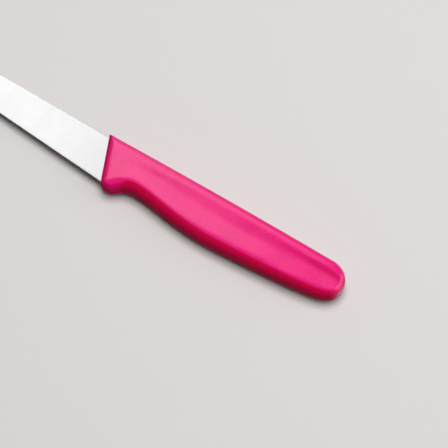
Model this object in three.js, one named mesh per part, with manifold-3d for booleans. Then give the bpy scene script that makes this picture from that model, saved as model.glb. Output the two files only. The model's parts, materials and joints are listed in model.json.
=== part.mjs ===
// Vegetable knife: a ground steel blade whose tang is moulded into a one-piece plastic handle.
// Millimetres. The knife lies on its side: +X runs from the tip to the butt, +Y from the cutting
// edge to the spine, and +Z is up. The origin is under the middle of the knife, on the surface.
import * as THREE from "three";
import { mergeVertices } from "three/addons/utils/BufferGeometryUtils.js";
import Module from "manifold-3d";

// Handle outline, seen from the side and measured from the front corner of its spine
const handleLength = 105;
const handleThickness = 11.5;
const frontSlant = 21; // degrees that the front face leans back towards the guard
const spineCrown = 0.36; // rise of the spine above the straight line between its ends
const guardCover = 1.55; // plastic below the heel of the blade
const guardReach = 3.4; // from the front face back to the lowest point of the guard
const noseRound = 1.2; // front corner of the guard
const neckReach = 8.4; // from the lowest point of the guard back to the neck
const neckHeight = 15.15;
const bellyPlace = 51; // where the grip is fullest
const bellyHeight = 18.3;
const buttDrop = 0.2; // top of the butt below the front corner
const buttHeight = 14.5;
const buttReach = 8.4; // length of the rounded butt
const buttRise = 16; // degrees that the grip climbs into the butt

// How far each curve of the lower outline keeps its direction
const guardHold = 2;
const neckHoldFront = 4.9;
const neckHoldBack = 7.7;
const bellyHoldFront = 14.3;
const bellyHoldBack = 6.9;
const buttHold = 6.9;

// Handle surface: a round along every edge
const frontRound = 3.3;
const spineRoundFront = 3.6;
const spineRoundBack = 3;
const guardRound = 3.3;
const neckRound = 4.5;
const bellyRound = 4.1;
const heelRound = 3.5; // lower corner of the butt
const endRound = 2.6; // end of the butt

// Each side is hollowed behind a rib along the spine: a scoop for the grip, and a step at the butt.
const rimWidth = 0.3; // level top of the rib, inside the round of the spine
const ribRun = 4.6; // from the top of the rib down to the bottom of the hollow
const ribLean = 0.75; // below 1, the flank of the rib is steepest near its top
const palmRun = 6.5; // from the round of the grip in to the bottom of the scoop
const gripHollow = 0.42; // depth of the scoop
const gripHollowStart = 11; // from the front corner back to where the scoop begins
const gripHollowFull = 26; // and to where it has its full depth
const buttHollow = 0.4; // depth of the step at the butt
const buttHollowStart = 40; // from the front corner back to where the step begins
const buttHollowGrowth = 2.5; // above 1, the step deepens mostly near the butt

// Blade, measured from the front corner of the handle
const bladeLength = 84;
const bladeHeight = 15.65;
const spineDrop = 0.85; // blade spine below the handle spine
const spineRise = 0.6; // degrees that the spine climbs towards the tip
const edgeRise = 4.6; // degrees that the edge climbs towards the tip
const tipDrop = 5.2; // tip below the spine
const spineSweep = 38; // length of the curved part of the spine
const edgeSweep = 27; // length of the curved part of the edge
const stockThickness = 1.2;
const grindThickness = 0.24; // steel left just above the edge bevel
const bevelWidth = 0.4;
const edgeThickness = 0.08;

// Tang, moulded into the handle
const rootDepth = 3.5; // full-height blade behind the front face
const tangDrop = 8.2; // middle of the tang below the handle spine
const tangHeight = 8.6;
const tangEndHeight = 6.4;
const tangLap = 2; // thick stock that runs forward onto the root
const tangEndCover = 30; // plastic between the end of the tang and the butt
const lockHoles = 3;
const lockHoleDiameter = 4.6;
const lockHoleInset = 14; // first and last hole from the ends of the tang
const fit = 0.3; // clearance between the steel and the moulding

// Facets
const columns = 56;
const rows = 24;
const edgeSteps = 36;
const bladeStations = 26;

const wasm = await Module();
wasm.setup();

const { degToRad, clamp, lerp, smoothstep } = THREE.MathUtils;
const at = (x, y) => new THREE.Vector2(x, y);
const slopeOf = (degrees) => Math.tan(degToRad(degrees));
const slant = slopeOf(frontSlant);
const frontAt = (y) => at(-y * slant, y);

function pathOf(...curves) {
  const path = new THREE.CurvePath();
  curves.forEach((curve) => path.add(curve));
  return path;
}

function solidFrom(geometry) {
  const bare = new THREE.BufferGeometry();
  bare.setAttribute("position", geometry.getAttribute("position"));
  bare.setIndex(geometry.getIndex());
  const merged = mergeVertices(bare, 1e-4);
  const corners = merged.getIndex().array;
  const triangles = [];
  for (let i = 0; i < corners.length; i += 3) {
    const [a, b, c] = corners.slice(i, i + 3);
    if (a !== b && b !== c && c !== a) triangles.push(a, b, c);
  }
  return new wasm.Manifold(
    new wasm.Mesh({
      numProp: 3,
      vertProperties: merged.getAttribute("position").array,
      triVerts: new Uint32Array(triangles),
    }),
  );
}

function meshFrom(solid, name, material) {
  const { vertProperties, triVerts } = solid.getMesh();
  const geometry = new THREE.BufferGeometry();
  geometry.setAttribute("position", new THREE.BufferAttribute(vertProperties, 3));
  geometry.setIndex(new THREE.BufferAttribute(triVerts, 1));
  geometry.computeVertexNormals();
  const mesh = new THREE.Mesh(geometry, material);
  mesh.name = name;
  return mesh;
}

// Blade: the spine and the edge are straight out of the handle and then sweep to the tip.
const tip = at(-bladeLength, -spineDrop - tipDrop);
const spineAt = (x) => at(x, -spineDrop - x * slopeOf(spineRise));
const edgeAt = (x) => at(x, -spineDrop - bladeHeight - x * slopeOf(edgeRise));

// Where a straight line of the blade meets the end of the root, parallel to the front face
function rootEnd(lineAt, depth) {
  const rise = lineAt(1).y - lineAt(0).y;
  return lineAt((depth - slant * lineAt(0).y) / (1 + slant * rise));
}

function sweptCurve(lineAt, depth, sweep) {
  const bend = lineAt(tip.x + sweep);
  const straight = new THREE.LineCurve(rootEnd(lineAt, depth), bend);
  return pathOf(straight, new THREE.QuadraticBezierCurve(bend, lineAt(tip.x + sweep / 2), tip));
}

// Grinding leaves one flat on each side, from the full stock at the spine down to the edge bevel.
const grindPlane = new THREE.Plane().setFromCoplanarPoints(
  new THREE.Vector3(...rootEnd(spineAt, rootDepth), stockThickness / 2),
  new THREE.Vector3(...edgeAt(0), grindThickness / 2),
  new THREE.Vector3(...edgeAt(-bladeLength), grindThickness / 2),
);
const groundHeight = ({ x, y }) =>
  -(grindPlane.constant + grindPlane.normal.x * x + grindPlane.normal.y * y) / grindPlane.normal.z;

function groundBlade(grow) {
  const spine = sweptCurve(spineAt, rootDepth + grow, spineSweep);
  const edge = sweptCurve(edgeAt, rootDepth + grow, edgeSweep);
  const points = [];
  for (let i = 0; i <= bladeStations; i++) {
    const back = spine.getPoint(i / bladeStations);
    const apex = edge.getPoint(i / bladeStations);
    const bevel = Math.min(bevelWidth / Math.max(back.distanceTo(apex), bevelWidth), 0.5);
    const shoulder = apex.clone().lerp(back, bevel);
    const tipped = i === bladeStations;
    const side = [
      [back.x, back.y + grow, (tipped ? edgeThickness / 2 : groundHeight(back)) + grow],
      [shoulder.x, shoulder.y, (tipped ? edgeThickness / 2 : groundHeight(shoulder)) + grow],
      [apex.x, apex.y - grow, edgeThickness / 2 + grow],
    ];
    side.forEach(([x, y, z]) => points.push(new THREE.Vector3(x, y, z)));
    side.reverse().forEach(([x, y, z]) => points.push(new THREE.Vector3(x, y, -z)));
  }
  const ring = 6;
  const faces = [];
  for (let i = 0; i < bladeStations; i++) {
    for (let j = 0; j < ring; j++) {
      const a = i * ring + j;
      const b = i * ring + ((j + 1) % ring);
      faces.push(a, b + ring, b, a, a + ring, b + ring);
    }
  }
  const last = bladeStations * ring;
  for (let j = 1; j + 1 < ring; j++) {
    faces.push(0, j, j + 1, last, last + j + 1, last + j);
  }
  return solidFrom(new THREE.BufferGeometry().setFromPoints(points).setIndex(faces));
}

// The tang keeps the full stock, tapers to a round end and has holes that the moulding fills.
function tang(grow) {
  const shoulder = frontAt(-tangDrop).x + rootDepth;
  const frontEnd = (y) => frontAt(y).setX(frontAt(y).x + rootDepth - tangLap - grow);
  const end = handleLength - tangEndCover;
  const endCentre = end - tangEndHeight / 2;
  const endRadius = tangEndHeight / 2 + grow;
  const shape = new THREE.Shape();
  shape.moveTo(...frontEnd(-tangDrop - tangHeight / 2 - grow));
  shape.lineTo(endCentre, -tangDrop - endRadius);
  shape.absarc(endCentre, -tangDrop, endRadius, -Math.PI / 2, Math.PI / 2, false);
  shape.lineTo(...frontEnd(-tangDrop + tangHeight / 2 + grow));
  const pitch = (end - shoulder - 2 * lockHoleInset) / Math.max(lockHoles - 1, 1);
  for (let i = 0; i < lockHoles; i++) {
    const hole = new THREE.Path();
    const x = shoulder + lockHoleInset + i * pitch;
    hole.absarc(x, -tangDrop, lockHoleDiameter / 2 - grow, 0, 2 * Math.PI, true);
    shape.holes.push(hole);
  }
  const depth = stockThickness + 2 * grow;
  const plate = new THREE.ExtrudeGeometry(shape, { depth, bevelEnabled: false, curveSegments: 14 });
  return solidFrom(plate.translate(0, 0, -depth / 2));
}

const bladeBody = (grow) => groundBlade(grow).add(tang(grow));

// Handle: corners of the outline
const guardDepth = guardCover - rootEnd(edgeAt, rootDepth).y;
const frontTop = at(0, 0);
const noseCorner = frontAt(-guardDepth);
const frontFoot = noseCorner.clone().setLength(noseCorner.length() - noseRound);
const guardFoot = at(noseCorner.x + guardReach, -guardDepth);
const neck = at(guardFoot.x + neckReach, -neckHeight);
const belly = at(bellyPlace, -bellyHeight);
const buttCentre = at(handleLength - buttReach, -buttDrop - buttHeight / 2);

// The butt is part of an ellipse, entered and left at the slopes of the spine and of the grip.
const spineControl = at(buttCentre.x / 2, 2 * spineCrown - buttDrop / 2);
const spineFall = (spineControl.y + buttDrop) / (buttCentre.x - spineControl.x);
const roundness = buttReach / (buttHeight / 2);
const buttTopAngle = Math.PI / 2 - Math.atan(spineFall * roundness);
const buttFootAngle = Math.atan(slopeOf(buttRise) * roundness) - Math.PI / 2;
const buttArc = (from, to) =>
  new THREE.EllipseCurve(buttCentre.x, buttCentre.y, buttReach, buttHeight / 2, from, to, from > to);
const buttTop = buttArc(buttTopAngle, 0).getPoint(0);
const buttFoot = buttArc(buttFootAngle, 0).getPoint(0);
const upperCorner = Math.PI / 4;
const lowerCorner = -Math.PI / 4;

// A curve of the lower outline, level at its front end and climbing at its back end
function flowing(from, holdFrom, to, holdTo, climb) {
  const control = at(to.x - holdTo, to.y - holdTo * climb);
  return new THREE.CubicBezierCurve(from, at(from.x + holdFrom, from.y), control, to);
}

const front = new THREE.LineCurve(frontTop, frontFoot);
const spine = new THREE.QuadraticBezierCurve(frontTop, spineControl, buttTop);
const nose = new THREE.QuadraticBezierCurve(frontFoot, noseCorner, guardFoot);
const guard = flowing(guardFoot, guardHold, neck, neckHoldFront, 0);
const waist = flowing(neck, neckHoldBack, belly, bellyHoldFront, 0);
const grip = flowing(belly, bellyHoldBack, buttFoot, buttHold, slopeOf(buttRise));

// Short pieces of an edge, each with the round that the edge has there
function edgePieces([curve, roundFrom, roundTo]) {
  const points = curve.getSpacedPoints(edgeSteps);
  return points.slice(1).map((end, i) => {
    const start = points[i];
    return { start, run: end.clone().sub(start), round: lerp(roundFrom, roundTo, i / edgeSteps) };
  });
}

const roundedEdges = [
  [front, frontRound, frontRound],
  [spine, spineRoundFront, spineRoundBack],
  [buttArc(buttTopAngle, 0), spineRoundBack, endRound],
  [nose, frontRound, guardRound],
  [guard, guardRound, neckRound],
  [waist, neckRound, bellyRound],
  [grip, bellyRound, heelRound],
  [buttArc(buttFootAngle, 0), heelRound, endRound],
].flatMap(edgePieces);

// The rib keeps the line of the spine and runs straight out over the butt.
const ribEnd = at(handleLength, buttTop.y - spineFall * (handleLength - buttTop.x));
const ribLine = pathOf(spine, new THREE.LineCurve(buttTop, ribEnd));
const ribEdge = edgePieces([ribLine, spineRoundFront, spineRoundBack]);
const palmEdges = [
  [waist, neckRound, bellyRound],
  [grip, bellyRound, heelRound],
].flatMap(edgePieces);

// How far the edges pull the surface down at a point, and how far the point lies inside the rounds
function survey(point, pieces) {
  let drop = 0;
  let inside = Infinity;
  for (const { start, run, round } of pieces) {
    const offset = point.clone().sub(start);
    const share = clamp(offset.dot(run) / run.lengthSq(), 0, 1);
    const distance = offset.addScaledVector(run, -share).length();
    const short = Math.max(round - distance, 0);
    drop = Math.max(drop, round - Math.sqrt(round * round - short * short));
    inside = Math.min(inside, distance - round);
  }
  return { drop, inside };
}

function sideHeight(point) {
  const flank = Math.max(survey(point, ribEdge).inside - rimWidth, 0) / ribRun;
  const behindRib = smoothstep(flank ** ribLean, 0, 1);
  const fromPalm = smoothstep(survey(point, palmEdges).inside, 0, palmRun);
  const scoop = gripHollow * smoothstep(point.x, gripHollowStart, gripHollowFull) * fromPalm;
  const deepening = clamp((point.x - buttHollowStart) / (buttCentre.x - buttHollowStart), 0, 1);
  const step = buttHollow * deepening ** buttHollowGrowth;
  return handleThickness / 2 - survey(point, roundedEdges).drop - (scoop + step) * behindRib;
}

// The side of the handle is a patch stretched between four curves, with its points crowded
// towards them so that the rounds are smooth.
const topCurve = pathOf(spine, buttArc(buttTopAngle, upperCorner));
const footCurve = pathOf(nose, guard, waist, grip, buttArc(buttFootAngle, lowerCorner));
const endCurve = buttArc(upperCorner, lowerCorner);
const crowded = (i, count) => (1 - Math.cos((Math.PI * i) / count)) / 2;

function patchPoint(u, v) {
  const across = topCurve.getPoint(u).lerp(footCurve.getPoint(u), v);
  const along = front.getPointAt(v).lerp(endCurve.getPointAt(v), u);
  const topChord = frontTop.clone().lerp(topCurve.getPoint(1), u);
  const footChord = frontFoot.clone().lerp(footCurve.getPoint(1), u);
  return across.add(along).sub(topChord.lerp(footChord, v));
}

function handleBody() {
  const upper = [];
  for (let i = 0; i <= columns; i++) {
    for (let j = 0; j <= rows; j++) {
      const point = patchPoint(crowded(i, columns), crowded(j, rows));
      upper.push(new THREE.Vector3(point.x, point.y, sideHeight(point)));
    }
  }
  const lower = upper.map(({ x, y, z }) => new THREE.Vector3(x, y, -z));
  const id = (i, j) => i * (rows + 1) + j;
  const under = upper.length;
  const faces = [];
  for (let i = 0; i < columns; i++) {
    for (let j = 0; j < rows; j++) {
      const [a, b, c, d] = [id(i, j), id(i, j + 1), id(i + 1, j + 1), id(i + 1, j)];
      faces.push(a, b, c, a, c, d);
      faces.push(under + a, under + c, under + b, under + a, under + d, under + c);
    }
  }
  const rim = [];
  for (let j = 0; j < rows; j++) rim.push(id(0, j));
  for (let i = 0; i < columns; i++) rim.push(id(i, rows));
  for (let j = rows; j > 0; j--) rim.push(id(columns, j));
  for (let i = columns; i > 0; i--) rim.push(id(i, 0));
  rim.forEach((p, k) => {
    const q = rim[(k + 1) % rim.length];
    faces.push(p, under + p, under + q, p, under + q, q);
  });
  return solidFrom(new THREE.BufferGeometry().setFromPoints([...upper, ...lower]).setIndex(faces));
}

const steel = new THREE.MeshStandardMaterial({ color: "#cfd2d3", roughness: 0.32, metalness: 1 });
const plastic = new THREE.MeshStandardMaterial({ color: "#e3106b", roughness: 0.42, metalness: 0 });

const knife = new THREE.Group();
knife.name = "knife";
knife.add(meshFrom(bladeBody(0), "blade", steel));
knife.add(meshFrom(handleBody().subtract(bladeBody(fit)), "handle", plastic));

const box = new THREE.Box3().setFromObject(knife);
const middle = box.getCenter(new THREE.Vector3());
knife.position.set(-middle.x, -middle.y, -box.min.z);

const part = new THREE.Group();
part.name = "vegetable knife";
part.add(knife);

export default part;
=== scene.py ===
import json
import math
import bmesh
import bpy
import numpy as np
from mathutils import Matrix, Vector

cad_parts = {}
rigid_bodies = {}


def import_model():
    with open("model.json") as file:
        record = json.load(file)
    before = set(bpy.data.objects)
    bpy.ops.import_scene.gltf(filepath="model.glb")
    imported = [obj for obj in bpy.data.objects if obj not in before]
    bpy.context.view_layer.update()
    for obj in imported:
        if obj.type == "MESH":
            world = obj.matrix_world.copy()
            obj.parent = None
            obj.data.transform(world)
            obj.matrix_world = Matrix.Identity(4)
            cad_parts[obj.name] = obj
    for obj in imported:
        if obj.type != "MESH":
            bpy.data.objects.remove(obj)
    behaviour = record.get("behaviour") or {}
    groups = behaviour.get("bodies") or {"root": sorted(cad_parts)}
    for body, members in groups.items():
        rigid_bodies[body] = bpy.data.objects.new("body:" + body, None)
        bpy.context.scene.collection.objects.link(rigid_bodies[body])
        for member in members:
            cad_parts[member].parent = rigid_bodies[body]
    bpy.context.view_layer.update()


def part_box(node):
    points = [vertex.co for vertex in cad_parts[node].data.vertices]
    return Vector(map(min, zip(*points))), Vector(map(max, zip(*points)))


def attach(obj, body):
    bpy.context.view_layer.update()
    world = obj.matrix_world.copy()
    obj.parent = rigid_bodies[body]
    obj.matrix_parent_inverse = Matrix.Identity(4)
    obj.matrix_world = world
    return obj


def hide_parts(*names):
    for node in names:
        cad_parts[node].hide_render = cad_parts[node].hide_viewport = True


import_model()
mm = 0.001
scene = bpy.context.scene
scene.view_settings.view_transform = "Standard"


def linearColour(hexCode):  # sRGB hex to the linear values that sockets take
    parts = [int(hexCode[i:i + 2], 16) / 255 for i in (1, 3, 5)]
    return [c / 12.92 if c <= 0.04045 else ((c + 0.055) / 1.055) ** 2.4 for c in parts] + [1.0]


def addNode(tree, kind, feeds=None, **settings):  # one node with its settings, values and links
    node = tree.nodes.new(kind)
    for name, value in settings.items():
        setattr(node, name, value)
    for key, value in (feeds or {}).items():
        byName = (s for s in node.inputs if s.enabled and s.name == key)
        socket = node.inputs[key] if isinstance(key, int) else next(byName)
        for source in value if isinstance(value, tuple) else (value,):  # a tuple is several links
            if isinstance(source, bpy.types.Node):
                source = next(s for s in source.outputs if s.enabled)
            if isinstance(source, bpy.types.NodeSocket):
                tree.links.new(source, socket)
            else:
                socket.default_value = source
    return node


def newMaterial(name):
    material = bpy.data.materials.new(name)
    material.use_nodes = True
    material.node_tree.nodes.clear()
    return material, material.node_tree


# Camera at the photograph's angle: high above the knife, on the edge's side and nearer the butt
viewSettings = dict(  # millimetres and degrees
    target=(43.03, 2.95, 0.0), azimuth=30.6, elevation=74.0, distance=792.0, lens=169.8, sensorWidth=36.0,
)


def polar(azimuth, elevation):  # unit vector to a place that lies azimuth degrees east of -Y
    a, e = math.radians(azimuth), math.radians(elevation)
    return Vector((math.sin(a) * math.cos(e), -math.cos(a) * math.cos(e), math.sin(e)))


def aimAt(thing, place, target):
    back = (place - target).normalized()
    right = Vector((0, 0, 1)).cross(back).normalized()
    turn = Matrix((right, back.cross(right), back)).transposed().to_4x4()
    thing.matrix_world = Matrix.Translation(place) @ turn


def makeCamera(v):
    camera = bpy.data.objects.new("camera", bpy.data.cameras.new("camera"))
    camera.data.sensor_width = v["sensorWidth"]
    camera.data.lens = v["lens"]
    target = Vector(v["target"]) * mm
    aimAt(camera, target + polar(v["azimuth"], v["elevation"]) * v["distance"] * mm, target)
    scene.collection.objects.link(camera)
    scene.camera = camera


# A pale floor and pale walls in a dim room, a soft key lamp almost overhead, a lamp beyond the butt,
# and two pale cards that only give sheen
studio = dict(
    floorColour="#C9C6C5", bounceColour="#ABA9A7", floorRadius=3000.0, floorSides=96,
    floorRoughness=0.85, floorSpecular=0.1, roomColour="#E4E2E0", roomLevel=0.13, wallLevel=0.9,
    wallFade=(55.0, 86.0),  # degrees above the floor where the walls fade into the dim ceiling
    wallSpread=(127.0, 96.0),  # degrees from the camera's side where the walls end and where they are pale
    lamps=dict(  # width, depth, distance, tilt from overhead, turn to the right, shift to the right, power
        key=(600.0, 600.0, 1250.0, 9.5, 20.0, 0.0, 15.35),
        leftCard=(1300.0, 720.0, 1250.0, 27.8, -45.0, 235.0, 5.75),
        farCard=(1440.0, 1010.0, 1250.0, 58.0, -10.0, 0.0, 8.6),
        rightLamp=(1200.0, 900.0, 1250.0, 48.0, 100.0, 0.0, 6.0),
    ),
    cards=("leftCard", "farCard"),
)


# 1 where a thing is seen, also in a reflection or through glass, and 0 where it gives light
def eyeRays(tree):
    path = addNode(tree, "ShaderNodeLightPath").outputs
    seen = addNode(tree, "ShaderNodeMath", {
        0: path["Is Camera Ray"], 1: path["Is Glossy Ray"]}, operation="MAXIMUM")
    return addNode(tree, "ShaderNodeMath", {0: seen, 1: path["Is Transmission Ray"]}, operation="MAXIMUM")


def makeStudio(s):
    bpy.ops.mesh.primitive_circle_add(
        vertices=s["floorSides"], radius=s["floorRadius"] * mm, fill_type="NGON")
    floor = bpy.context.object
    floor.name = "floor"
    material, tree = newMaterial("paleFloor")
    colour = addNode(tree, "ShaderNodeMix", {  # pale to the eye, duller as a reflector of light
        "Factor": eyeRays(tree), "A": linearColour(s["bounceColour"]), "B": linearColour(s["floorColour"])},
        data_type="RGBA")
    shader = addNode(tree, "ShaderNodeBsdfPrincipled", {
        "Base Color": colour, "Roughness": s["floorRoughness"], "Specular IOR Level": s["floorSpecular"]})
    addNode(tree, "ShaderNodeOutputMaterial", {"Surface": shader})
    floor.data.materials.append(material)

    target = Vector(viewSettings["target"]) * mm
    for name, (width, depth, distance, tilt, turn, shift, power) in s["lamps"].items():
        lamp = bpy.data.objects.new(name, bpy.data.lights.new(name, "AREA"))
        lamp.data.shape = "RECTANGLE"
        lamp.data.size, lamp.data.size_y = width * mm, depth * mm
        lamp.data.energy = power
        lamp.visible_diffuse = name not in s["cards"]
        lamp.visible_glossy = name != "key"  # the key gives no sheen of its own
        heading = viewSettings["azimuth"] + 180.0 - turn
        aim = target + polar(heading - 90.0, 0.0) * shift * mm
        aimAt(lamp, aim + polar(heading, 90.0 - tilt) * distance * mm, aim)
        scene.collection.objects.link(lamp)

    scene.world = bpy.data.worlds.new("room")
    scene.world.use_nodes = True
    tree = scene.world.node_tree
    tree.nodes.clear()
    ray = addNode(tree, "ShaderNodeTexCoord").outputs["Generated"]
    rise = addNode(tree, "ShaderNodeSeparateXYZ", {"Vector": ray}).outputs["Z"]
    nearness = addNode(tree, "ShaderNodeVectorMath", {
        0: ray, 1: list(polar(viewSettings["azimuth"], 0.0))}, operation="DOT_PRODUCT").outputs["Value"]
    fadeStart, fadeEnd = (math.sin(math.radians(angle)) for angle in s["wallFade"])
    farEnd, nearEnd = (math.cos(math.radians(angle)) for angle in s["wallSpread"])
    low = addNode(tree, "ShaderNodeMapRange", {
        "Value": rise, "From Min": fadeStart, "From Max": fadeEnd, "To Min": 1.0, "To Max": 0.0})
    near = addNode(tree, "ShaderNodeMapRange", {"Value": nearness, "From Min": farEnd, "From Max": nearEnd})
    lowAndNear = addNode(tree, "ShaderNodeMath", {0: low, 1: near}, operation="MULTIPLY")
    wall = addNode(tree, "ShaderNodeMath", {0: lowAndNear, 1: eyeRays(tree)}, operation="MULTIPLY")
    level = addNode(tree, "ShaderNodeMix", {"Factor": wall, "A": s["roomLevel"], "B": s["wallLevel"]})
    light = addNode(tree, "ShaderNodeBackground", {
        "Color": linearColour(s["roomColour"]), "Strength": level})
    addNode(tree, "ShaderNodeOutputWorld", {"Surface": light})


makeCamera(viewSettings)
makeStudio(studio)
print("camera, floor and light are set")

# Handle: one moulding, drawn from the same outline as the solid but with a fine surface
handleShape = dict(  # millimetres and degrees, from the front corner of the spine
    length=105.0, thickness=11.5, frontSlant=21.0, spineCrown=0.36,
    cornerRound=0.6, guardDepth=18.866, guardReach=3.4, noseRound=1.2, neckReach=8.4, neckHeight=15.15,
    bellyPlace=51.0, bellyHeight=18.3, buttDrop=0.2, buttHeight=14.5, buttReach=8.4, buttRise=16.0,
    guardHold=2.0, neckHolds=(4.9, 7.7), bellyHolds=(14.3, 6.9), buttHold=6.9,
    frontRound=3.3, spineRounds=(3.6, 3.0), guardRound=3.3, neckRound=4.5, bellyRound=4.1, buttRound=3.5,
    endRound=2.6,
    rimWidth=0.3, ribRun=4.6, ribLean=0.75, palmRun=6.5, gripHollow=0.42, gripHollowPlace=(11.0, 26.0),
    buttHollow=0.4, buttHollowStart=40.0, buttHollowGrowth=2.5,
    wearWidth=1.1,  # how far the wear on the raised ridges spreads
    gripPlace=(0.015, 0.38), frontPlace=(0.15, 0.9),  # drops between which the matt finish of each begins, and the painted shade with it
    guardFinishAndShade=0.85,  # share of the guard, from its lowest point to the neck, given the front's matt finish and lighter painted shade
    frontShade=0.5, flankShade=0.5,  # shares of the painted shade in front, and on the rib's steep flank at the butt
    gripEnd=(-45.0, -5.0),  # angles round the butt between which the matt grip and its painted shade end
    flashHeight=0.05, flashWidth=0.12,  # fine line where the two halves of the mould meet
    columns=210, rows=84, wallRows=(1.0, 0.8, 0.6, 0.4, 0.2), curveSteps=80, arcSteps=60, roundSteps=60,
)

low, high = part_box("handle")
frontCorner = np.array([low[0], low[1] + handleShape["guardDepth"] * mm, (low[2] + high[2]) / 2])


def bezier(*points):
    t = np.linspace(0, 1, handleShape["curveSteps"])[:, None]
    level = [np.array(point, float) for point in points]
    while len(level) > 1:
        level = [a + (b - a) * t for a, b in zip(level, level[1:])]
    return level[0]


def walk(path, shares):  # points at given shares of a path's length
    run = np.r_[0, np.cumsum(np.linalg.norm(np.diff(path, axis=0), axis=1))]
    return np.stack([np.interp(shares * run[-1], run, path[:, k]) for k in (0, 1)], axis=-1)


def joined(*paths):
    return np.concatenate([paths[0]] + [path[1:] for path in paths[1:]])


def smooth(value, start, end):
    t = np.clip((value - start) / (end - start), 0, 1)
    return t * t * (3 - 2 * t)


def handleCurves(h):
    slant = math.tan(math.radians(h["frontSlant"]))
    climb = math.tan(math.radians(h["buttRise"]))
    noseCorner = np.array([h["guardDepth"] * slant, -h["guardDepth"]])
    frontFoot = noseCorner * (1 - h["noseRound"] / np.linalg.norm(noseCorner))
    guardFoot = noseCorner + (h["guardReach"], 0)
    neck = np.array([guardFoot[0] + h["neckReach"], -h["neckHeight"]])
    belly = np.array([h["bellyPlace"], -h["bellyHeight"]])
    centre = np.array([h["length"] - h["buttReach"], -h["buttDrop"] - h["buttHeight"] / 2])
    radii = np.array([h["buttReach"], h["buttHeight"] / 2])

    def arc(start, end):
        a = np.linspace(start, end, h["arcSteps"])
        return centre + radii * np.stack([np.cos(a), np.sin(a)], axis=1)

    # the butt is part of an ellipse, entered and left at the slopes of the spine and of the grip
    spineAim = np.array([centre[0] / 2, 2 * h["spineCrown"] - h["buttDrop"] / 2])
    fall = (spineAim[1] + h["buttDrop"]) / (centre[0] - spineAim[0])
    roundness = radii[0] / radii[1]
    topAngle = math.pi / 2 - math.atan(fall * roundness)
    footAngle = math.atan(climb * roundness) - math.pi / 2
    buttTop, buttFoot = arc(topAngle, 0)[0], arc(footAngle, 0)[0]
    ribEnd = buttTop + (buttTop - spineAim) * h["buttReach"] / (buttTop - spineAim)[0]

    def flowing(start, holdStart, end, holdEnd, slope):
        return bezier(start, start + (holdStart, 0), end - (holdEnd, holdEnd * slope), end)

    frontTop = frontFoot * h["cornerRound"] / np.linalg.norm(frontFoot)
    spineStart = spineAim * h["cornerRound"] / np.linalg.norm(spineAim)
    cornerTop = (frontTop + spineStart) / 4  # middle of the small round between the front and the spine
    front = bezier(frontTop, frontFoot)
    spine = bezier(spineStart, spineAim, buttTop)
    nose = bezier(frontFoot, noseCorner, guardFoot)
    guard = flowing(guardFoot, h["guardHold"], neck, h["neckHolds"][0], 0)
    waist = flowing(neck, h["neckHolds"][1], belly, h["bellyHolds"][0], 0)
    grip = flowing(belly, h["bellyHolds"][1], buttFoot, h["buttHold"], climb)
    edges = dict(  # each edge with its round at both ends
        upper=[(bezier(frontTop, (0, 0), spineStart), h["frontRound"], h["spineRounds"][0]),
               (front, h["frontRound"], h["frontRound"]), (spine, *h["spineRounds"]),
               (arc(topAngle, 0), h["spineRounds"][1], h["endRound"])],
        lower=[(nose, h["frontRound"], h["guardRound"]), (guard, h["guardRound"], h["neckRound"]),
               (waist, h["neckRound"], h["bellyRound"]), (grip, h["bellyRound"], h["buttRound"]),
               (arc(footAngle, 0), h["buttRound"], h["endRound"])],
        rib=[(joined(spine, bezier(buttTop, ribEnd)), *h["spineRounds"])],
        palm=[(waist, h["neckRound"], h["bellyRound"]), (grip, h["bellyRound"], h["buttRound"])],
    )
    # the front edges and the first share of the guard get the matt finish with half the painted shade; the
    # rest of the guard and the grip get it in full
    split = int(h["guardFinishAndShade"] * len(guard))
    splitRound = h["guardRound"] + h["guardFinishAndShade"] * (h["neckRound"] - h["guardRound"])
    frontGuard = (guard[:split + 1], h["guardRound"], splitRound)
    edges["front"] = edges["upper"][:2] + edges["lower"][:1] + [frontGuard]
    edges["grip"] = [(guard[split:], splitRound, h["neckRound"])] + edges["lower"][2:-1]
    edges["heel"] = edges["lower"][-1:]
    corner = math.pi / 4
    sides = dict(
        front=joined(bezier(cornerTop, frontTop / 2, frontTop), front), butt=arc(corner, -corner),
        top=joined(bezier(cornerTop, spineStart / 2, spineStart), spine, arc(topAngle, corner)),
        foot=joined(nose, guard, waist, grip, arc(footAngle, -corner)),
    )
    return edges, sides, centre


# how far the edge rounds pull the surface down, and how far inside them it lies
def survey(points, edges):
    drop = np.zeros(len(points))
    inside = np.full(len(points), np.inf)
    steps = handleShape["roundSteps"]
    for path, startRound, endRound in edges:
        path = walk(path, np.linspace(0, 1, steps + 1))
        for i, (a, b) in enumerate(zip(path, path[1:])):
            run = b - a
            radius = startRound + (endRound - startRound) * (i + 0.5) / steps
            share = np.clip((points - a) @ run / (run @ run), 0, 1)
            distance = np.linalg.norm(points - a - share[:, None] * run, axis=1)
            short = np.maximum(radius - distance, 0)
            drop = np.maximum(drop, radius - np.sqrt(np.maximum(radius ** 2 - short ** 2, 0)))
            inside = np.minimum(inside, distance - radius)
    return drop, inside


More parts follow.
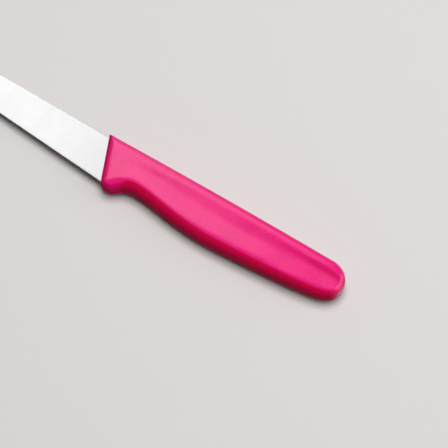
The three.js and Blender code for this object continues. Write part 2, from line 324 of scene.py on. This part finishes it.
def handleMesh(h):
    edges, sides, buttCentre = handleCurves(h)
    along = (1 - np.cos(np.linspace(0, math.pi, h["columns"] + 1))) / 2  # points crowd towards the edges
    across = (1 - np.cos(np.linspace(0, math.pi, h["rows"] + 1))) / 2
    top, foot = walk(sides["top"], along)[:, None], walk(sides["foot"], along)[:, None]
    front, butt = walk(sides["front"], across)[None], walk(sides["butt"], across)[None]
    u, v = along[:, None, None], across[None, :, None]
    chords = (1 - v) * ((1 - u) * top[0] + u * top[-1]) + v * ((1 - u) * foot[0] + u * foot[-1])
    patch = (1 - v) * top + v * foot + (1 - u) * front + u * butt - chords
    flat = patch.reshape(-1, 2)
    upperDrop, upperInside = survey(flat, edges["upper"])
    lowerDrop, lowerInside = survey(flat, edges["lower"])
    rim = h["rimWidth"]
    offRib = np.maximum((survey(flat, edges["rib"])[1] - rim) / h["ribRun"], 0)
    fromRib = smooth(offRib ** h["ribLean"], 0, 1)
    fromPalm = smooth(survey(flat, edges["palm"])[1], 0, h["palmRun"])
    hollowRun = buttCentre[0] - h["buttHollowStart"]
    deepening = np.clip((flat[:, 0] - h["buttHollowStart"]) / hollowRun, 0, 1)
    depth = h["gripHollow"] * smooth(flat[:, 0], *h["gripHollowPlace"]) * fromPalm
    step = deepening ** h["buttHollowGrowth"]
    depth += h["buttHollow"] * step
    height = h["thickness"] / 2 - np.maximum(upperDrop, lowerDrop) - depth * fromRib
    ridge = np.exp(-((np.minimum(upperInside, lowerInside) - rim / 2) / h["wearWidth"]) ** 2)
    fromButt = flat - buttCentre
    heel = 1 - smooth(np.degrees(np.arctan2(fromButt[:, 1], fromButt[:, 0])), *h["gripEnd"])
    # the grip's walls, and the butt's foot up to gripEnd, get the matt finish and a deeper painted shade
    grip = np.maximum(smooth(survey(flat, edges["grip"])[0], *h["gripPlace"]),
                      smooth(survey(flat, edges["heel"])[0], *h["gripPlace"]) * heel)
    frontMatt = smooth(survey(flat, edges["front"])[0], *h["frontPlace"])
    matt = np.maximum(grip, frontMatt)
    # painted shade also goes on the rib's steep flank at the butt, and half of it on the front
    flank = 4 * fromRib * (1 - fromRib) * step  # where the rib falls steeply
    grip = np.maximum.reduce([grip, frontMatt * h["frontShade"], flank * h["flankShade"]])

    count = len(flat)
    ids = np.arange(count).reshape(patch.shape[:2])
    a, b, c, d = ids[:-1, :-1], ids[:-1, 1:], ids[1:, 1:], ids[1:, :-1]
    cells = np.stack([a, b, c, d], axis=-1).reshape(-1, 4)
    loop = np.concatenate([ids[0, :-1], ids[:-1, -1], ids[-1, :0:-1], ids[:0:-1, 0]])
    verts = [np.c_[flat, height], np.c_[flat, -height]]
    faces = [cells, cells[:, ::-1] + count]

    # the wall between the two sides, with the fine ridge of the mould's parting line
    rimPoints, rimHeight = flat[loop], height[loop]
    tangent = np.roll(rimPoints, -1, axis=0) - np.roll(rimPoints, 1, axis=0)
    outward = np.stack([tangent[:, 1], -tangent[:, 0]], axis=1)
    outward /= np.linalg.norm(outward, axis=1)[:, None]
    half = h["flashWidth"] / 2
    levels = [rimHeight * share for share in h["wallRows"]]
    levels += [np.full(len(loop), 2 * half), np.full(len(loop), half)]
    levels = levels + [np.zeros(len(loop))] + [-level for level in reversed(levels)]
    rings = [loop]
    base = 2 * count
    for level in levels[1:-1]:
        proud = h["flashHeight"] * np.clip(2 - np.abs(level) / half, 0, 1)
        verts.append(np.c_[rimPoints + outward * proud[:, None], level])
        rings.append(base + np.arange(len(loop)))
        base += len(loop)
    rings.append(loop + count)
    for ringA, ringB in zip(rings, rings[1:]):
        faces.append(np.stack([ringA, ringB, np.roll(ringB, -1), np.roll(ringA, -1)], axis=1))
    verts = np.concatenate(verts)
    mesh = bpy.data.meshes.new("handle")
    mesh.from_pydata((verts * mm + frontCorner).tolist(), [], np.concatenate(faces).tolist())
    # grip marks where painted shade deepens the colour, matt marks the matt finish, ridge the worn ridges
    for name, values in (("ridge", ridge), ("grip", grip), ("matt", matt)):
        walls = np.tile(values[loop], len(rings) - 2)
        marks = mesh.attributes.new(name, "FLOAT", "POINT")
        marks.data.foreach_set("value", np.r_[values, values, walls].astype(np.float32))
    return mesh


handle = bpy.data.objects.new("mouldedHandle", handleMesh(handleShape))
scene.collection.objects.link(handle)
print("handle body:", len(handle.data.polygons), "faces")

# Blade: one rule makes it, a flat grind between the curve of the spine and the curve of the edge
bladeShape = dict(  # millimetres and degrees, from the front corner of the handle's spine
    length=84.0, height=15.65, spineDrop=0.85, spineRise=0.6, edgeRise=4.6, tipDrop=5.2,
    spineSweep=38.0, edgeSweep=27.0, stock=1.2, grind=0.24, bevelWidth=0.4, edgeThickness=0.08,
    spineChamfer=0.12, rootDepth=3.5, tangDrop=8.2, tangHeight=8.6, tangEndHeight=6.4, tangLap=2.0,
    tangEndCover=30.0, holes=3, holeDiameter=4.6, holeInset=14.0,
    seat=0.04,  # gap between the steel and the moulding
    stations=150, rows=112, sweepSteps=60, endSteps=20, holeSides=40,
)
bladeSockets = dict(
    NodeSocketVector=("Spine root", "Spine bend", "Spine aim", "Edge root", "Edge bend", "Edge aim", "Tip",
                      "Grind", "Tang lower front", "Tang lower end", "Tang upper end", "Tang upper front",
                      "First hole", "Hole step", "Place"),
    NodeSocketFloat=("Stock", "Shoulder", "Apex", "Bevel width", "Chamfer", "Clearance", "Tang round",
                     "Hole radius"),
    NodeSocketInt=("Stations", "Rows", "Holes"),
    NodeSocketMaterial=("Steel",),
)


def bladeSizes(b, h, grow):  # the tree's inputs, with the steel grown by a clearance for the pocket
    slant = math.tan(math.radians(h["frontSlant"]))
    tip = (-b["length"], -b["spineDrop"] - b["tipDrop"], 0)

    def spineAt(x):
        return (x, -b["spineDrop"] - x * math.tan(math.radians(b["spineRise"])), 0)

    def edgeAt(x):
        return (x, -b["spineDrop"] - b["height"] - x * math.tan(math.radians(b["edgeRise"])), 0)

    def rootEnd(lineAt, depth):  # where a line of the blade ends, parallel to the handle's front face
        start = lineAt(0)[1]
        return lineAt((depth - slant * start) / (1 + slant * (lineAt(1)[1] - start)))

    plane = [(*rootEnd(spineAt, b["rootDepth"])[:2], b["stock"] / 2), (*edgeAt(0)[:2], b["grind"] / 2),
             (*edgeAt(-b["length"])[:2], b["grind"] / 2)]
    grind = np.linalg.solve([(x, y, 1) for x, y, _ in plane], [z for _, _, z in plane])
    depth = b["rootDepth"] + grow
    shoulder = b["tangDrop"] * slant + b["rootDepth"]
    end = h["length"] - b["tangEndCover"]
    half, endHalf = b["tangHeight"] / 2 + grow, b["tangEndHeight"] / 2 + grow
    step = (end - shoulder - 2 * b["holeInset"]) / max(b["holes"] - 1, 1)

    def tangFront(y):  # where the thick stock begins, parallel to the handle's front face
        return (b["rootDepth"] - b["tangLap"] - grow - y * slant, y, 0)

    return {
        "Spine root": rootEnd(spineAt, depth), "Edge root": rootEnd(edgeAt, depth), "Tip": tip,
        "Spine bend": spineAt(tip[0] + b["spineSweep"]), "Spine aim": spineAt(tip[0] + b["spineSweep"] / 2),
        "Edge bend": edgeAt(tip[0] + b["edgeSweep"]), "Edge aim": edgeAt(tip[0] + b["edgeSweep"] / 2),
        "Grind": grind.tolist(), "Stock": b["stock"] + 2 * grow, "Shoulder": b["grind"] / 2,
        "Apex": b["edgeThickness"] / 2, "Bevel width": b["bevelWidth"], "Chamfer": b["spineChamfer"],
        "Clearance": grow, "Tang lower front": tangFront(-b["tangDrop"] - half),
        "Tang lower end": (end + grow, -b["tangDrop"] - endHalf, 0),
        "Tang upper end": (end + grow, -b["tangDrop"] + endHalf, 0),
        "Tang upper front": tangFront(-b["tangDrop"] + half), "Tang round": endHalf,
        "First hole": (shoulder + b["holeInset"], -b["tangDrop"], 0), "Hole step": (step, 0, 0),
        "Hole radius": b["holeDiameter"] / 2 - grow, "Holes": b["holes"], "Place": frontCorner.tolist(),
        "Stations": b["stations"], "Rows": b["rows"],
    }


def bladeTree(b):
    tree = bpy.data.node_groups.new("groundBlade", "GeometryNodeTree")
    for kind, labels in bladeSockets.items():
        for label in labels:
            tree.interface.new_socket(label, in_out="INPUT", socket_type=kind)
    tree.interface.new_socket("Geometry", in_out="OUTPUT", socket_type="NodeSocketGeometry")
    size = addNode(tree, "NodeGroupInput").outputs
    tiny = 1e-4  # a share, or a length in millimetres, that counts as none
    flip = 0.001  # sine within which a point lies on the middle of the spine or of the edge

    # a sheet of points that goes once round the section: spine, one side, edge, other side
    columns = addNode(tree, "ShaderNodeMath", {0: size["Rows"], 1: 1.0}, operation="ADD")
    sheet = addNode(tree, "GeometryNodeMeshGrid", {
        "Size X": 1.0, "Size Y": 1.0, "Vertices X": size["Stations"], "Vertices Y": columns})
    share = addNode(tree, "ShaderNodeSeparateXYZ", {"Vector": sheet.outputs["UV Map"]})
    gaps = addNode(tree, "ShaderNodeMath", {0: size["Stations"], 1: 1.0}, operation="SUBTRACT")
    firstGap = addNode(tree, "ShaderNodeMath", {0: 1.0, 1: gaps}, operation="DIVIDE")
    along = addNode(tree, "ShaderNodeMapRange", {"Value": share.outputs["X"], "From Min": firstGap})
    isOpen = addNode(tree, "ShaderNodeMath", {0: share.outputs["X"], 1: tiny}, operation="GREATER_THAN")
    around = addNode(tree, "ShaderNodeMath", {0: share.outputs["Y"], 1: 2 * math.pi}, operation="MULTIPLY")
    turn = addNode(tree, "ShaderNodeMath", {0: around}, operation="COSINE")
    across = addNode(tree, "ShaderNodeMapRange", {"Value": turn, "From Min": 1.0, "From Max": -1.0})
    lift = addNode(tree, "ShaderNodeMath", {0: around}, operation="SINE")
    side = addNode(tree, "ShaderNodeMapRange", {
        "Value": lift, "From Min": -flip, "From Max": flip, "To Min": -1.0, "To Max": 1.0})

    # both curves run straight out of the handle and then sweep to the tip
    curves, places = {}, {}
    for name in ("Spine", "Edge"):
        straight = addNode(tree, "GeometryNodeCurvePrimitiveLine", {
            "Start": size[name + " root"], "End": size[name + " bend"]})
        sweep = addNode(tree, "GeometryNodeCurveQuadraticBezier", {
            "Resolution": b["sweepSteps"], "Start": size[name + " bend"],
            "Middle": size[name + " aim"], "End": size["Tip"]})
        curves[name] = addNode(tree, "GeometryNodeJoinGeometry", {"Geometry": (sweep, straight)})
        sampled = addNode(tree, "GeometryNodeSampleCurve", {
            "Curves": curves[name], "Factor": along}, mode="FACTOR", use_all_curves=True)
        places[name] = sampled.outputs["Position"]
    point = addNode(tree, "ShaderNodeMix", {
        "Factor": across, "A": places["Spine"], "B": places["Edge"]}, data_type="VECTOR")
    width = addNode(tree, "ShaderNodeVectorMath", {
        0: places["Spine"], 1: places["Edge"]}, operation="DISTANCE").outputs["Value"]
    fromSpine = addNode(tree, "ShaderNodeMath", {0: width, 1: across}, operation="MULTIPLY")
    fromEdge = addNode(tree, "ShaderNodeMath", {0: width, 1: fromSpine}, operation="SUBTRACT")

    # half the thickness is the least of the grind, the edge bevel and the broken corner of the spine
    raised = addNode(tree, "ShaderNodeVectorMath", {0: point, 1: [0, 0, 1]}, operation="ADD")
    ground = addNode(tree, "ShaderNodeVectorMath", {
        0: raised, 1: size["Grind"]}, operation="DOT_PRODUCT").outputs["Value"]
    bevel = addNode(tree, "ShaderNodeMapRange", {
        "Value": fromEdge, "From Max": size["Bevel width"],
        "To Min": size["Apex"], "To Max": size["Shoulder"]}, clamp=False)
    corner = addNode(tree, "ShaderNodeMath", {0: ground, 1: size["Chamfer"]}, operation="SUBTRACT")
    broken = addNode(tree, "ShaderNodeMath", {0: corner, 1: fromSpine}, operation="ADD")
    thin = addNode(tree, "ShaderNodeMath", {0: ground, 1: bevel}, operation="MINIMUM")
    half = addNode(tree, "ShaderNodeMath", {0: thin, 1: broken}, operation="MINIMUM")
    grown = addNode(tree, "ShaderNodeMath", {0: half, 1: size["Clearance"]}, operation="ADD")
    sided = addNode(tree, "ShaderNodeMath", {0: grown, 1: side}, operation="MULTIPLY")
    height = addNode(tree, "ShaderNodeMath", {0: sided, 1: isOpen}, operation="MULTIPLY")
    spread = addNode(tree, "ShaderNodeMath", {0: turn, 1: size["Clearance"]}, operation="MULTIPLY")
    offset = addNode(tree, "ShaderNodeCombineXYZ", {"Y": spread, "Z": height})
    surface = addNode(tree, "ShaderNodeVectorMath", {0: point, 1: offset}, operation="ADD")
    placed = addNode(tree, "GeometryNodeSetPosition", {
        "Geometry": sheet.outputs["Mesh"], "Position": surface})
    leaf = addNode(tree, "GeometryNodeMergeByDistance", {"Geometry": placed, "Distance": tiny})

    # tang: a tapered strip with a round end and a row of holes that the plastic fills
    strip = addNode(tree, "GeometryNodeCurvePrimitiveQuadrilateral", {
        "Point 1": size["Tang lower front"], "Point 2": size["Tang lower end"],
        "Point 3": size["Tang upper end"], "Point 4": size["Tang upper front"]}, mode="POINTS")
    here = addNode(tree, "ShaderNodeSeparateXYZ", {"Vector": addNode(tree, "GeometryNodeInputPosition")})
    there = addNode(tree, "ShaderNodeSeparateXYZ", {"Vector": size["First hole"]})
    atEnd = addNode(tree, "ShaderNodeMath", {
        0: here.outputs["X"], 1: there.outputs["X"]}, operation="GREATER_THAN")
    radius = addNode(tree, "ShaderNodeMath", {0: atEnd, 1: size["Tang round"]}, operation="MULTIPLY")
    outline = addNode(tree, "GeometryNodeFilletCurve", {
        "Curve": strip, "Radius": radius, "Count": b["endSteps"], "Limit Radius": True}, mode="POLY")
    row = addNode(tree, "GeometryNodeMeshLine", {
        "Count": size["Holes"], "Start Location": size["First hole"],
        "Offset": size["Hole step"]}, mode="OFFSET")
    hole = addNode(tree, "GeometryNodeCurvePrimitiveCircle", {
        "Resolution": b["holeSides"], "Radius": size["Hole radius"]})
    pattern = addNode(tree, "GeometryNodeInstanceOnPoints", {"Points": row, "Instance": hole})
    holes = addNode(tree, "GeometryNodeRealizeInstances", {"Geometry": pattern})
    drawing = addNode(tree, "GeometryNodeJoinGeometry", {"Geometry": (outline, holes)})
    blank = addNode(tree, "GeometryNodeFillCurve", {"Curve": drawing}, mode="TRIANGLES")
    under = addNode(tree, "ShaderNodeMath", {0: size["Stock"], 1: -0.5}, operation="MULTIPLY")
    down = addNode(tree, "ShaderNodeCombineXYZ", {"Z": under})
    lower = addNode(tree, "GeometryNodeSetPosition", {"Geometry": blank, "Offset": down})
    up = addNode(tree, "ShaderNodeCombineXYZ", {"Z": size["Stock"]})
    upper = addNode(tree, "GeometryNodeExtrudeMesh", {
        "Mesh": lower, "Offset": up, "Individual": False}, mode="FACES")
    sole = addNode(tree, "GeometryNodeFlipFaces", {"Mesh": lower})
    plate = addNode(tree, "GeometryNodeJoinGeometry", {"Geometry": (upper, sole)})
    tang = addNode(tree, "GeometryNodeMergeByDistance", {"Geometry": plate, "Distance": tiny})

    # one piece of steel, which remembers how far each point lies from the cutting edge
    steel = addNode(tree, "GeometryNodeMeshBoolean", {
        "Mesh": (leaf, tang)}, operation="UNION", solver="EXACT")
    edgeLine = addNode(tree, "GeometryNodeCurveToMesh", {"Curve": curves["Edge"]})
    reach = addNode(tree, "GeometryNodeProximity", {0: edgeLine}, target_element="EDGES")
    marked = addNode(tree, "GeometryNodeStoreNamedAttribute", {
        "Geometry": steel, "Name": "fromEdge", "Value": reach.outputs["Distance"]}, data_type="FLOAT")
    placedSteel = addNode(tree, "GeometryNodeTransform", {
        "Geometry": marked, "Translation": size["Place"], "Scale": [mm, mm, mm]})
    real = addNode(tree, "GeometryNodeRealizeInstances", {"Geometry": placedSteel})
    finished = addNode(tree, "GeometryNodeSetMaterial", {"Geometry": real, "Material": size["Steel"]})
    addNode(tree, "NodeGroupOutput", {"Geometry": finished})
    return tree


creaseAngle = 32.0  # degrees, and a sharper fold shows as an edge


def plainMesh(piece):  # what the modifiers make of a piece, as a mesh of its own
    made = piece.evaluated_get(bpy.context.evaluated_depsgraph_get())
    mesh = bpy.data.meshes.new_from_object(made)
    piece.modifiers.clear()
    piece.data = mesh
    shape = bmesh.new()
    shape.from_mesh(mesh)
    bmesh.ops.recalc_face_normals(shape, faces=shape.faces)
    shape.to_mesh(mesh)
    shape.free()
    mesh.shade_smooth()
    mesh.set_sharp_from_angle(angle=math.radians(creaseAngle))


def makeBlade(name, tree, sizes):
    piece = bpy.data.objects.new(name, bpy.data.meshes.new(name))
    scene.collection.objects.link(piece)
    modifier = piece.modifiers.new("groundBlade", "NODES")
    modifier.node_group = tree
    for item in tree.interface.items_tree:
        if item.in_out == "INPUT":
            modifier[item.identifier] = sizes[item.name]
    plainMesh(piece)
    return piece


# Belt lines are really about 0.1 mm wide and are drawn wider, so that they show
bladeLook = dict(  # colours and millimetres, and the stretch of each pattern that is used
    colour="#BABABA", lineColour="#B1B2B2", roughness=(0.18, 0.23), honedRoughness=0.18, honedFade=0.08,
    lineWidth=0.4, lineLength=14.0, lineDepth=0.003, lineStrength=0.6, lineStretch=(0.3, 0.7),
    cloudSize=11.0, cloudShare=0.4, toneStretch=(0.35, 0.65),
)


# stainless sheet ground on a belt: even and bright, with faint lines from spine to edge
def groundSteel(look):
    material, tree = newMaterial("groundStainless")
    place = addNode(tree, "ShaderNodeTexCoord").outputs["Object"]
    across, along = 1 / (look["lineWidth"] * mm), 1 / (look["lineLength"] * mm)
    strokes = addNode(tree, "ShaderNodeMapping", {"Vector": place, "Scale": [across, along, along]})
    lines = addNode(tree, "ShaderNodeTexNoise", {
        "Vector": strokes, "Scale": 1.0, "Detail": 3.0, "Roughness": 0.6})
    clouds = addNode(tree, "ShaderNodeTexNoise", {
        "Vector": place, "Scale": 1 / (look["cloudSize"] * mm), "Detail": 2.0})
    tone = addNode(tree, "ShaderNodeMix", {"Factor": look["cloudShare"], "A": lines, "B": clouds})
    spread = addNode(tree, "ShaderNodeMapRange", {
        "Value": tone, "From Min": look["toneStretch"][0], "From Max": look["toneStretch"][1]})
    colour = addNode(tree, "ShaderNodeMix", {
        "Factor": spread, "A": linearColour(look["lineColour"]), "B": linearColour(look["colour"])},
        data_type="RGBA")

    # the narrow bevel along the edge is honed finer than the sides
    fromEdge = addNode(tree, "ShaderNodeAttribute", attribute_name="fromEdge").outputs["Fac"]
    ground = addNode(tree, "ShaderNodeMapRange", {
        "Value": lines, "From Min": look["lineStretch"][0], "From Max": look["lineStretch"][1],
        "To Min": look["roughness"][0], "To Max": look["roughness"][1]})
    honedWidth = bladeShape["bevelWidth"]
    onSide = addNode(tree, "ShaderNodeMapRange", {
        "Value": fromEdge, "From Min": honedWidth, "From Max": honedWidth + look["honedFade"]})
    roughness = addNode(tree, "ShaderNodeMix", {"Factor": onSide, "A": look["honedRoughness"], "B": ground})
    relief = addNode(tree, "ShaderNodeBump", {
        "Height": lines, "Strength": look["lineStrength"], "Distance": look["lineDepth"] * mm})
    shader = addNode(tree, "ShaderNodeBsdfPrincipled", {
        "Base Color": colour, "Roughness": roughness, "Metallic": 1.0, "Normal": relief})
    addNode(tree, "ShaderNodeOutputMaterial", {"Surface": shader})
    return material


# The mould's grain is really about 0.1 mm wide and is drawn coarser, so that it shows
handleLook = dict(  # colours and millimetres, and the stretch of each pattern that is used
    # the third colour is painted shade, a deeper crimson for the walls that face away from the light
    colour="#E20676", driftColour="#D1046A", paintedShadeColour="#BE013E", roughness=(0.13, 0.17),
    mattRoughness=0.9, ior=1.49, specular=(0.5, 0.12), grainSize=1.1, grainDepth=0.06, grainStrength=0.6,
    grainShare=0.7, grainStretch=(0.32, 0.68), driftSize=9.0, driftStretch=(0.35, 0.65),
    rubWidth=0.35, rubLength=9.0, rubStretch=(0.5, 0.7), rubRoughness=0.1,
)


# injection moulded in an eroded mould: a satin sheen with fine grain over strong colour, deepened to
# crimson by painted shade on the walls that turn from the light
def polypropylene(look):
    material, tree = newMaterial("mouldedPolypropylene")
    place = addNode(tree, "ShaderNodeTexCoord").outputs["Object"]
    grain = addNode(tree, "ShaderNodeTexNoise", {
        "Vector": place, "Scale": 1 / (look["grainSize"] * mm), "Detail": 1.0})
    drift = addNode(tree, "ShaderNodeTexNoise", {
        "Vector": place, "Scale": 1 / (look["driftSize"] * mm), "Detail": 3.0})
    tone = addNode(tree, "ShaderNodeMapRange", {
        "Value": drift, "From Min": look["driftStretch"][0], "From Max": look["driftStretch"][1]})
    speck = addNode(tree, "ShaderNodeMapRange", {
        "Value": grain, "From Min": look["grainStretch"][0], "From Max": look["grainStretch"][1]})
    mottle = addNode(tree, "ShaderNodeMix", {"Factor": look["grainShare"], "A": tone, "B": speck})
    body = addNode(tree, "ShaderNodeMix", {
        "Factor": mottle, "A": linearColour(look["driftColour"]), "B": linearColour(look["colour"])},
        data_type="RGBA")
    # the grip attribute mixes in that crimson as painted shade: fully on the lower walls and the butt's
    # foot, half on the front and nose, and partly on the rib's steep flank
    grip = addNode(tree, "ShaderNodeAttribute", attribute_name="grip").outputs["Fac"]
    colour = addNode(tree, "ShaderNodeMix", {
        "Factor": grip, "A": body, "B": linearColour(look["paintedShadeColour"])}, data_type="RGBA")

    # the raised ridges are dulled by long rubs, and the front and the grip are matt
    across, along = 1 / (look["rubWidth"] * mm), 1 / (look["rubLength"] * mm)
    strokes = addNode(tree, "ShaderNodeMapping", {"Vector": place, "Scale": [along, across, across]})
    matt = addNode(tree, "ShaderNodeAttribute", attribute_name="matt").outputs["Fac"]
    streaks = addNode(tree, "ShaderNodeTexNoise", {"Vector": strokes, "Scale": 1.0, "Detail": 2.0})
    ridge = addNode(tree, "ShaderNodeAttribute", attribute_name="ridge").outputs["Fac"]
    rubs = addNode(tree, "ShaderNodeMapRange", {
        "Value": streaks, "From Min": look["rubStretch"][0], "From Max": look["rubStretch"][1],
        "To Max": look["rubRoughness"]})
    satin = addNode(tree, "ShaderNodeMapRange", {
        "Value": tone, "To Min": look["roughness"][0], "To Max": look["roughness"][1]})
    rubbed = addNode(tree, "ShaderNodeMath", {0: rubs, 1: ridge, 2: satin}, operation="MULTIPLY_ADD")
    roughness = addNode(tree, "ShaderNodeMix", {"Factor": matt, "A": rubbed, "B": look["mattRoughness"]})
    relief = addNode(tree, "ShaderNodeBump", {
        "Height": grain, "Strength": look["grainStrength"], "Distance": look["grainDepth"] * mm})
    gleam = addNode(tree, "ShaderNodeMapRange", {
        "Value": matt, "To Min": look["specular"][0], "To Max": look["specular"][1]})
    shader = addNode(tree, "ShaderNodeBsdfPrincipled", {
        "Base Color": colour, "Roughness": roughness, "IOR": look["ior"],
        "Specular IOR Level": gleam, "Normal": relief})
    addNode(tree, "ShaderNodeOutputMaterial", {"Surface": shader})
    return material


steel = groundSteel(bladeLook)
knifeTree = bladeTree(bladeShape)
blade = makeBlade("groundBlade", knifeTree, dict(bladeSizes(bladeShape, handleShape, 0.0), Steel=steel))
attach(blade, "root")
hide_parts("blade")
print("blade:", len(blade.data.polygons), "faces")

handle.data.materials.append(polypropylene(handleLook))
core = makeBlade("mouldCore", knifeTree, dict(
    bladeSizes(bladeShape, handleShape, bladeShape["seat"]), Steel=steel))
pocket = handle.modifiers.new("pocket", "BOOLEAN")
pocket.operation, pocket.solver, pocket.object = "DIFFERENCE", "EXACT", core
plainMesh(handle)
bpy.data.objects.remove(core)
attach(handle, "root")
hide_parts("handle")
print("handle:", len(handle.data.polygons), "faces")
